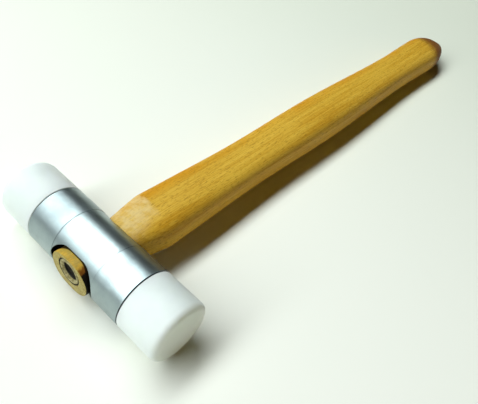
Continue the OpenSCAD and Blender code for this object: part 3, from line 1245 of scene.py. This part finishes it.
class NylonFace(Piece):
    """A screw-in striking face: a threaded spigot, a shoulder and a flat end with a soft rounded edge."""

    slot = "nylon"

    def __init__(self, side: int, finish: Finish, size: HeadSize, thread: ScrewThread) -> None:
        """Keep what the face is built from.

        Args:
            side: -1 for the left face and 1 for the right.
            finish: Its finish.
            size: Sizes of the head.
            thread: The thread's tree.
        """
        super().__init__(finish)
        self.side = side
        self.size = size
        self.thread = thread
        self.node = "right_face" if side > 0 else "left_face"
        self.body = self.node

    def outline(self) -> Outline:
        """Outline the face on the right, its end's edge rounded by a superellipse.

        Returns:
            Radius and distance along the head, from the spigot's end to the striking face's centre.
        """
        s = self.size
        end = s.half_barrel - s.spigot_l
        start = s.half_barrel + s.seam_gap
        core = s.spigot_r - s.thread.depth
        neck = s.spigot_r - s.neck_drop
        c = s.seam_chamfer
        e = s.face_edge
        bend = 2 / s.edge_power
        turns = np.radians(np.linspace(0, 90, s.edge_steps + 1))[:-1]
        across, ahead = s.radius - e, s.half_l - e
        edge = [(across + e * math.cos(t) ** bend, ahead + e * math.sin(t) ** bend) for t in turns]
        return [
            (0.0, end),
            (core - s.spigot_chamfer, end),
            (core, end + s.spigot_chamfer),
            (core, s.half_barrel - s.neck_from),
            (neck, s.half_barrel - s.neck_to),
            (neck, start),
            (s.radius - c, start),
            *arc((s.radius - c, start + c), c, -90, 0, 4)[1:],
            *edge,
            (s.radius - e, s.half_l),
            (4.0, s.half_l),
            (1.0, s.half_l),
            (0.0, s.half_l),
        ]

    def shape(self) -> Object:
        """Turn the face and thread its spigot.

        Returns:
            The face.
        """
        s = self.size
        profile = self.outline()
        if self.side < 0:
            profile = [(r, -y) for r, y in profile[::-1]]
        points, faces = lathe(profile, s.face_sides)
        made = make_object(f"{self.node}_piece", points, faces, self.material)
        foot = s.spigot_r - s.thread.depth - s.thread.sunk
        start = s.half_barrel - s.spigot_l + s.spigot_lead
        self.thread.put_on(made, s.thread, foot, self.side, start)
        bake(made)
        return made


@dataclass(frozen=True)
class WedgeSize:
    """Sizes of the ring wedge and the kerf wedge, in millimetres."""

    ring_r: float = 5.8
    ring_wall: float = 2.0
    ring_l: float = 9.0
    ring_edge: float = 0.3
    ring_proud: float = 0.15
    ring_sides: int = 128
    mouth: float = 1.0
    # Height of the dents on the struck rim, and how deep below its top they reach
    dent: float = 0.03
    dent_zone: float = 0.25
    core_sunk: float = 1.6
    crush: float = 0.42
    up: float = 1.2
    # Slant of the kerf in degrees, and the sizes of the wedge in it
    angle: float = 42.0
    width: float = 13.8
    thick: float = 1.8
    end_thick: float = 0.9
    tip_share: float = 0.39
    depth: float = 17.0
    worn: float = 0.12
    sunk: float = 0.1
    # Clearance of a driven wedge, room that the kerf is cut wider, and how far a cutter runs out
    fit: float = 0.02
    kerf_room: float = 0.06
    past: float = 2.0

    @property
    def ring_inner(self) -> float:
        """Inner radius of the ring."""
        return self.ring_r - self.ring_wall


@dataclass(frozen=True)
class HandleSize:
    """Sizes of the handle, in millimetres."""

    tenon_l: float = 21.8
    tenon_h: float = 17.2
    tenon_drop: float = 0.25
    tenon_end: float = -14.4
    # Distance from the tenon's end and inset of its broken edge, and where the tenon is full
    tenon_edge: Keys = ((0.0, 0.3), (0.12, 0.1))
    tenon_full: float = 0.35
    root_x: float = 10.948
    root_w: float = 20.6
    crease_x: float = 29.0
    dome_x: float = 284.0
    reach: float = 310.0
    # Height of the grip as a share of its width
    flat: float = 0.71
    # Place along the handle and squareness, as the power of a superellipse
    powers: Keys = ((10.948, 2.6), (29.0, 3.2), (41.0, 3.0), (242.0, 3.0), (284.0, 2.6))
    dome_power: float = 1.3
    # Place along the handle and width of the grip
    keys: Keys = ((29.0, 26.3), (88.0, 24.3), (155.0, 26.4), (242.0, 23.3), (284.0, 25.8))
    sides: int = 128
    tenon_rings: int = 14
    shoulder_rings: int = 26
    grip_rings: int = 220
    dome_rings: int = 36
    # End grain shows within this depth of the end: this near the ring, or where a normal leans this far
    end_depth: float = 2.5
    end_margin: float = 0.6
    end_lean: float = 0.6


class Handle(Piece):
    """The beech handle: a tenon, a faceted shoulder, a waisted grip and a domed butt in one loft."""

    node = "handle"
    body = "head_and_handle"
    slot = "beech"

    def __init__(self, finish: Finish, end_finish: Finish, size: HandleSize, wedges: WedgeSize) -> None:
        """Keep what the handle is built from.

        Args:
            finish: Finish along the grain.
            end_finish: Finish of cuts across the grain.
            size: Sizes of the handle.
            wedges: Sizes of the wedges that it makes room for.
        """
        super().__init__(finish)
        self.end_material = end_finish.build()
        self.size = size
        self.wedges = wedges

    @staticmethod
    def through(x: float, keys: Keys) -> float:
        """Read a smooth line through keys, held at both ends.

        Args:
            x: Place along the handle.
            keys: Places and their values, in order.

        Returns:
            The value at x.
        """
        for (x0, v0), (x1, v1) in zip(keys, keys[1:]):
            if x <= x1:
                share = max(0.0, (x - x0) / (x1 - x0))
                return v0 + (v1 - v0) * (1 - math.cos(math.pi * share)) / 2
        return keys[-1][1]

    def half_sizes(self, x: float) -> tuple[float, float]:
        """Size the section: flat facets up to the crease, then the waisted grip.

        Args:
            x: Place along the handle.

        Returns:
            Half the width and half the height.
        """
        s = self.size
        width = self.through(x, s.keys)
        if x >= s.crease_x:
            return width / 2, width * s.flat / 2
        share = (x - s.root_x) / (s.crease_x - s.root_x)
        facet_w = s.root_w + (width - s.root_w) * share
        facet_h = s.tenon_h + (width * s.flat - s.tenon_h) * share
        return facet_w / 2, facet_h / 2

    def grip_ring(self, x: float, shrink: float = 1.0) -> Points:
        """Make the rounded section of the grip.

        Args:
            x: Place along the handle.
            shrink: Share of its full size, for the dome.

        Returns:
            Points of the ring.
        """
        s = self.size
        angle = np.linspace(0, 2 * math.pi, s.sides, endpoint=False)
        cos, sin = np.cos(angle), np.sin(angle)
        share = 2 / self.through(x, s.powers)
        half_width, half_height = self.half_sizes(x)
        y = shrink * half_width * np.sign(cos) * np.abs(cos) ** share
        z = shrink * half_height * np.sign(sin) * np.abs(sin) ** share
        return np.c_[np.full(s.sides, x), y, z]

    def tenon_ring(self, x: float, inset: float = 0.0) -> Points:
        """Make the tenon's slot-shaped section, its points on the same rays as the grip's.

        Args:
            x: Place along the handle.
            inset: How much smaller it is all round.

        Returns:
            Points of the ring.
        """
        s = self.size
        _, y, z = self.grip_ring(s.root_x).T
        radius = s.tenon_h / 2 - inset
        shift = (s.tenon_l - s.tenon_h) / 2
        way = np.c_[y, z] / np.hypot(y, z)[:, None]
        flat = radius / np.maximum(np.abs(way[:, 1]), 1e-9)
        part = shift * np.abs(way[:, 0])
        round_end = part + np.sqrt(np.maximum(part**2 - shift**2 + radius**2, 0))
        reach = np.where(flat * np.abs(way[:, 0]) <= shift, flat, round_end)
        return np.c_[np.full(s.sides, x), way[:, 0] * reach, way[:, 1] * reach - s.tenon_drop]

    def rings(self) -> list[Points]:
        """Make every ring of the loft.

        Returns:
            Rings in order from the tenon's end to the butt.
        """
        s = self.size
        tenon = [self.tenon_ring(s.tenon_end + x, inset) for x, inset in s.tenon_edge]
        full = np.linspace(s.tenon_end + s.tenon_full, s.root_x, s.tenon_rings)
        tenon += [self.tenon_ring(x) for x in full]
        shoulder = [self.grip_ring(x) for x in np.linspace(s.root_x + 0.1, s.crease_x, s.shoulder_rings)]
        grip = [self.grip_ring(x) for x in np.linspace(s.crease_x, s.dome_x, s.grip_rings)[1:]]
        dome = []
        for turn in np.radians(np.linspace(0, 90, s.dome_rings)[1:-1]):
            ring = self.grip_ring(s.dome_x, math.cos(turn) ** s.dome_power)
            ring[:, 0] = s.dome_x + (s.reach - s.dome_x) * math.sin(turn)
            dome.append(ring)
        return tenon + shoulder + grip + dome

    def shape(self) -> Object:
        """Loft the handle, cut the wedges' rooms and give cuts across the grain their own material.

        Returns:
            The handle.
        """
        s, w = self.size, self.wedges
        points, faces = loft(self.rings())
        points[-1, 0] = s.reach
        made = make_object("handle_piece", points, faces, self.material)
        made.data.materials.append(self.end_material)
        kerf = KerfWedge.slab("kerf_cutter", w, s, w.kerf_room, self.material)
        cut(made, [RingWedge.room("ring_cutter", w, s, self.material), kerf])
        limit = (LAY @ Vector(((s.tenon_end + s.end_depth) * MM, 0, 0))).x
        out = Matrix.Scale(1 / MM, 4) @ LAY.inverted()
        for face in made.data.polygons:
            spot = out @ face.center
            near_ring = math.hypot(spot.y, spot.z - w.up) < w.ring_r + s.end_margin
            if face.center.x < limit and (near_ring or abs(face.normal.x) > s.end_lean):
                face.material_index = 1
        return made


class KerfWedge(Piece):
    """The wooden wedge driven into the tenon's slanting saw kerf, crossed by the ring."""

    node = "kerf_wedge"
    body = "head_and_handle"
    slot = "wedge_wood"

    def __init__(self, finish: Finish, size: HandleSize, wedges: WedgeSize) -> None:
        """Keep what the wedge is built from.

        Args:
            finish: Its finish.
            size: Sizes of the handle.
            wedges: Sizes of the wedges.
        """
        super().__init__(finish)
        self.size = size
        self.wedges = wedges

    @staticmethod
    def slab(name: str, w: WedgeSize, s: HandleSize, room: float, material: Material) -> Object:
        """Build the tapered slab of the wedge or of its kerf.

        Args:
            name: Name of the object.
            w: Sizes of the wedges.
            s: Sizes of the handle.
            room: Added to the width and depth, and cut past the tenon's end, for a cutter.
            material: Material of the slab.

        Returns:
            The slab as an object.
        """
        turn = math.radians(w.angle)
        along = np.array([0, math.cos(turn), math.sin(turn)])
        over = np.array([0, -math.sin(turn), math.cos(turn)])
        front = -w.past if room else w.sunk
        half = w.width / 2 + (room if room else -w.fit)
        share = np.cos(np.linspace(0, math.pi, 15))
        rings = []
        for x in np.linspace(front, w.depth + room, 14):
            taper = 1 - (1 - w.tip_share) * max(0.0, x) / w.depth
            lens = taper * (w.end_thick + (w.thick - w.end_thick) * (1 - share**2)) / 2
            lens = lens + (0.0 if room else -w.fit)
            worn = w.worn if x == front and not room else 0.0
            side = np.r_[-share * (half - worn), share * (half - worn)]
            rise = np.r_[-(lens - worn), lens - worn]
            ring = side[:, None] * along + rise[:, None] * over
            ring[:, 0] = s.tenon_end + x
            ring[:, 2] += w.up
            rings.append(ring)
        points, faces = loft(rings)
        return make_object(name, points, faces, material)

    def shape(self) -> Object:
        """Build the wedge and cut the ring's path and the sunk middle out of it.

        Returns:
            The kerf wedge.
        """
        made = self.slab("kerf_wedge_piece", self.wedges, self.size, 0.0, self.material)
        cut(made, [RingWedge.room("wedge_cutter", self.wedges, self.size, self.material)])
        return made


class RingWedge(Piece):
    """The round steel wedge driven round the tenon's middle."""

    node = "ring_wedge"
    body = "head_and_handle"
    slot = "wedge_steel"

    def __init__(self, finish: Finish, size: HandleSize, wedges: WedgeSize) -> None:
        """Keep what the wedge is built from.

        Args:
            finish: Its finish.
            size: Sizes of the handle.
            wedges: Sizes of the wedges.
        """
        super().__init__(finish)
        self.size = size
        self.wedges = wedges

    @staticmethod
    def room(name: str, w: WedgeSize, s: HandleSize, material: Material) -> Object:
        """Build the room that the ring wedge takes in the wood, with the hollow over the sunk core.

        Args:
            name: Name of the object.
            w: Sizes of the wedges.
            s: Sizes of the handle.
            material: Material of the room.

        Returns:
            The room as a closed object, its mouth a little crushed.
        """
        inner, depth = w.ring_inner, w.ring_l + 0.1
        profile = [
            (0.0, -w.past),
            (w.ring_r + w.crush, -w.past),
            (w.ring_r + w.crush, 0.0),
            (w.ring_r + w.fit, 3 * w.crush),
            (inner + w.ring_edge + w.fit, depth),
            (inner - w.fit, depth),
            (inner - w.fit, w.core_sunk),
            (0.0, w.core_sunk),
        ]
        points, faces = lathe(profile, 96)
        points[:, 1] += s.tenon_end
        return make_object(name, to_handle_axis(points, w.up), faces, material)

    def section(self) -> Outline:
        """Outline the ring's wall, tapered outside and countersunk at its mouth.

        Returns:
            Radius and depth into the tenon, in order round the wall.
        """
        w = self.wedges
        inner = w.ring_inner
        top = -w.ring_proud
        slope = (inner + w.ring_edge - w.ring_r) / w.ring_l
        return [
            (inner + 0.3, w.core_sunk * 0.6),
            (inner + 0.04, w.core_sunk),
            *[(inner, y) for y in np.linspace(w.core_sunk + 0.3, w.ring_l - 0.3, 10)],
            (inner, w.ring_l),
            (inner + w.ring_edge, w.ring_l),
            *[(w.ring_r + slope * y, y) for y in np.linspace(w.ring_l - 0.4, 0.4, 12)],
            (w.ring_r - 0.02, top + 0.2),
            (w.ring_r - 0.2, top + 0.03),
            (w.ring_r - 0.5, top),
            (inner + w.mouth + 0.2, top),
            (inner + w.mouth, top + 0.08),
        ]

    def shape(self) -> Object:
        """Turn the tapered ring and dent its struck rim a little.

        Returns:
            The ring wedge.
        """
        w = self.wedges
        points, faces = turn_section(self.section(), w.ring_sides)
        turn = np.arctan2(points[:, 0], points[:, 2])
        # Waves of 3, 7 and 16 round the rim, raised by their whole height so that every dent goes inwards
        dent = np.sin(3 * turn + 0.7) + 0.6 * np.sin(7 * turn) + 0.3 * np.sin(16 * turn + 2) + 1.9
        rim = points[:, 1] < -w.ring_proud + w.dent_zone
        points[rim, 1] += w.dent * dent[rim]
        points[:, 1] += self.size.tenon_end
        made = make_object("ring_wedge_piece", to_handle_axis(points, w.up), faces, self.material)
        bake(made)
        return made


# Table, lamps and camera


class Table:
    """The plain pale surface that the mallet lies on."""

    def __init__(self, finish: Finish, half: float = 6.0) -> None:
        """Keep the finish and half the table's side in metres."""
        self.material = finish.build()
        self.half = half

    def build(self) -> Object:
        """Lay the table at height 0.

        Returns:
            The table.
        """
        h = self.half
        mesh = bpy.data.meshes.new("table")
        mesh.from_pydata([(-h, -h, 0), (h, -h, 0), (h, h, 0), (-h, h, 0)], [], [(0, 1, 2, 3)])
        mesh.materials.append(self.material)
        made = bpy.data.objects.new("table", mesh)
        bpy.context.scene.collection.objects.link(made)
        return made


@dataclass(frozen=True)
class Lamp:
    """A rectangular area lamp that faces the head, its long side along the handle.

    Distance and size are in metres and power in watts.
    """

    name: str
    way: tuple[float, float, float]
    distance: float
    size: tuple[float, float]
    power: float
    colour: str

    def build(self, target: Vector) -> Object:
        """Set the lamp up at its distance from what it lights, and turn it there.

        Args:
            target: The point that it lights, in the row frame.

        Returns:
            The lamp.
        """
        data = bpy.data.lights.new(self.name, "AREA")
        data.shape = "RECTANGLE"
        data.size, data.size_y = self.size
        data.energy = self.power
        data.color = linear(self.colour)[:3]
        made = bpy.data.objects.new(self.name, data)
        way = Vector(self.way).normalized()
        long = (Vector((1, 0, 0)) - way * way.x).normalized()
        turn = Matrix((long, way.cross(long), way)).transposed().to_4x4()
        made.matrix_world = Matrix.Translation(target + way * self.distance) @ turn
        bpy.context.scene.collection.objects.link(made)
        return made


@dataclass(frozen=True)
class Studio:
    """Soft plain light: a long key lamp over the head's far side, a low warm fill and a dim even sky."""

    lamps: tuple[Lamp, ...] = (
        Lamp("key", (-0.32, 0.42, 0.82), 1.3, (3.3, 0.38), 38.2, "#F8FFFF"),
        Lamp("low_fill", (0.05, -0.97, 0.12), 1.5, (1.2, 0.5), 2.3, "#FFD25C"),
    )
    sky: str = "#8C8C58"
    sky_strength: float = 0.015
    seen: str = "#E6EAE0"
    mirrored: str = "#A9B0AE"
    gloom: str = "#151715"
    # Across the head, -1 to the left and 1 to the right: where the mirrored sky darkens and where it is dark
    gloom_from: float = -0.1
    gloom_to: float = 0.35

    def build_sky(self) -> bpy.types.World:
        """Make the dim sky that lights the scene, and the pale one that is seen and mirrored.

        Returns:
            The world; metal mirrors it pale on the left and dark on the right.
        """
        world = bpy.data.worlds.new("sky")
        world.use_nodes = True
        graph = Graph(world.node_tree)
        dim = world.node_tree.nodes["Background"]
        graph.plug(dim, Color=self.sky, Strength=self.sky_strength)
        way = graph.add(Kind.COORDINATES).outputs["Generated"]
        side = graph.add(Kind.SPLIT, way).outputs[1]
        rays = graph.add(Kind.RAYS).outputs
        share = graph.add(Kind.EASE, side, self.gloom_from, self.gloom_to)
        mirrored = graph.add(Kind.MIX, share, self.mirrored, self.gloom)
        colour = graph.add(Kind.MIX, rays["Is Camera Ray"], mirrored, self.seen)
        pale = graph.add(Kind.SKY, Color=colour, Strength=1.0)
        shown = graph.add(Kind.MAXIMUM, rays["Is Camera Ray"], rays["Is Glossy Ray"])
        shown = graph.add(Kind.MAXIMUM, shown, rays["Is Transmission Ray"])
        both = graph.add(Kind.EITHER, shown, dim, pale)
        graph.plug(graph.tree.nodes["World Output"], Surface=both)
        return world

    def build(self) -> None:
        """Light the scene and set the plain view transform."""
        scene = bpy.context.scene
        scene.world = self.build_sky()
        scene.view_settings.view_transform = "Standard"
        for lamp in self.lamps:
            lamp.build(HEAD_CENTRE)


@dataclass(frozen=True)
class Viewpoint:
    """The photo's camera, in the tool's own axes, in millimetres and degrees."""

    place: tuple[float, float, float] = (-81.272, -109.40, 178.96)
    yaw: float = 31.91
    pitch: float = 45.426
    roll: float = 14.563
    focal_px: float = 530.0
    image_w: float = 478.0
    sensor_mm: float = 36.0
    # Nearest distance that is drawn, in metres
    nearest: float = 0.01

    def build(self) -> Object:
        """Make the camera and the scene's active view.

        Returns:
            The camera.
        """
        yaw, pitch, roll = (math.radians(v) for v in (self.yaw, self.pitch, self.roll))
        ahead = Vector((math.cos(yaw) * math.cos(pitch), math.sin(yaw) * math.cos(pitch), -math.sin(pitch)))
        side = Vector((math.sin(yaw), -math.cos(yaw), 0))
        up = side.cross(ahead)
        right = side * math.cos(roll) + up * math.sin(roll)
        top = up * math.cos(roll) - side * math.sin(roll)
        turn = Matrix((right, top, -ahead)).transposed().to_4x4()
        data = bpy.data.cameras.new("photo_view")
        data.sensor_width = self.sensor_mm
        data.lens = self.sensor_mm * self.focal_px / self.image_w
        data.clip_start = self.nearest
        made = bpy.data.objects.new("photo_view", data)
        made.matrix_world = LAY @ Matrix.Translation(Vector(self.place) * MM) @ turn
        bpy.context.scene.collection.objects.link(made)
        bpy.context.scene.camera = made
        return made


def main() -> None:
    """Build the mallet piece by piece, then the table, the light and the view."""
    logging.basicConfig(level=logging.INFO, format="%(name)s: %(message)s")
    head, handle, wedges = HeadSize(), HandleSize(), WedgeSize()
    thread = ScrewThread()
    nylon = MouldedNylon()
    beech = OiledBeech()
    end_beech = OiledBeech("Beech end grain", Grain.END, "#D3C888", "#AE9E54", "#7A6C32", "#AE9E54")
    wedge_wood = OiledBeech("Wedge end grain", Grain.END, "#8E6A30", "#6F4C1E", "#3D2710")
    makers: list[Callable[[], object]] = [
        Barrel(TurnedAluminium(), head, thread).build,
        NylonFace(-1, nylon, head, thread).build,
        NylonFace(1, nylon, head, thread).build,
        Handle(beech, end_beech, handle, wedges).build,
        KerfWedge(wedge_wood, handle, wedges).build,
        RingWedge(DullSteel(), handle, wedges).build,
        Table(PaleTable()).build,
        Studio().build,
        Viewpoint().build,
    ]
    for make in makers:
        make()
    LOG.info("all pieces are built")


if __name__ == "__main__":
    main()
